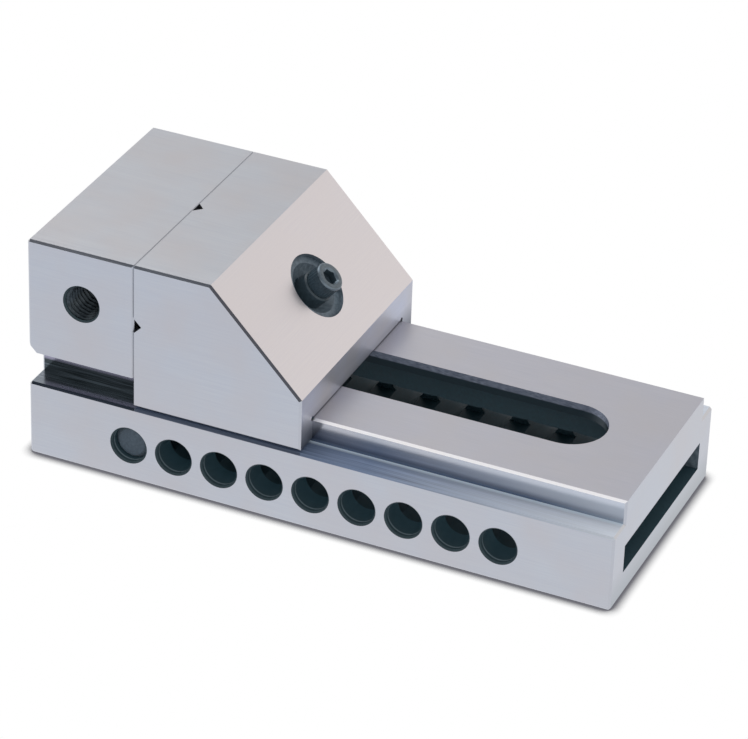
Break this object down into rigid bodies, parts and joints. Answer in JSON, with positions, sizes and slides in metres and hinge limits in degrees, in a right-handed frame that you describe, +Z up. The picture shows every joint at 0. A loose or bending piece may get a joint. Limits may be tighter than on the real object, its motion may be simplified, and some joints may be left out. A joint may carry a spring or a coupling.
{
  "type": "toolmakers vise",
  "caption": "Ground steel toolmakers vise with fixed jaw, sliding jaw with sloping back and down-thrust clamp screw, and a row of cross holes for its pin.",
  "frame": {"origin": "middle of the footprint on the underside of the body", "axes": "+X along the body from the fixed jaw to the open end, +Y to the back side, +Z up from the underside"},
  "size_m": [0.17, 0.073, 0.0665],
  "materials": {
    "ground_steel": "hardened tool steel, surface ground on all outer faces",
    "black_oxide_screw": "alloy steel socket screw, black oxide",
    "hardened_washer": "hardened steel, darkened by heat treatment",
    "dark_nut_steel": "milled steel, darkened by oil and heat treatment",
    "hardened_pin": "hardened dowel steel, turned end faces"
  },
  "bodies": {
    "vise_body": {"body": "ground_steel"},
    "pin": {"cross_pin": "hardened_pin"},
    "nut": {"swivel_nut": "dark_nut_steel"},
    "jaw": {"moving_jaw": "ground_steel", "keeper_plate": "dark_nut_steel", "keeper_screw_front": "black_oxide_screw", "keeper_screw_rear": "black_oxide_screw"},
    "washer": {"spherical_washer": "hardened_washer"},
    "screw": {"clamp_screw": "black_oxide_screw"}
  },
  "joints": [
    {"name": "pin_position", "type": "slide", "parent": "vise_body", "child": "pin", "axis": [1, 0, 0], "range_m": [0, 0.081]},
    {"name": "jaw_slide", "type": "slide", "parent": "pin", "child": "jaw", "axis": [1, 0, 0], "range_m": [0, 0.0135]},
    {"name": "nut_swing", "type": "hinge", "parent": "pin", "child": "nut", "pos_m": [-0.05485, 0, 0.0106], "axis": [0, 1, 0], "range_deg": [0, 8.5]},
    {"name": "screw_swing", "type": "hinge", "parent": "jaw", "child": "washer", "pos_m": [-0.01425, 0, 0.05431], "axis": [0, 1, 0], "range_deg": [0, 8.5]},
    {"name": "screw_turn", "type": "hinge", "parent": "washer", "child": "screw", "pos_m": [-0.01425, 0, 0.05431], "axis": [0.6805, 0, 0.7327], "range_deg": [0, 4450]}
  ],
  "couplings": [
    {"joint": "nut_swing", "follows": "jaw_slide", "rad_per_m": 10.8},
    {"joint": "screw_swing", "follows": "jaw_slide", "rad_per_m": 10.8},
    {"joint": "screw_turn", "follows": "jaw_slide", "rad_per_m": 5730}
  ]
}
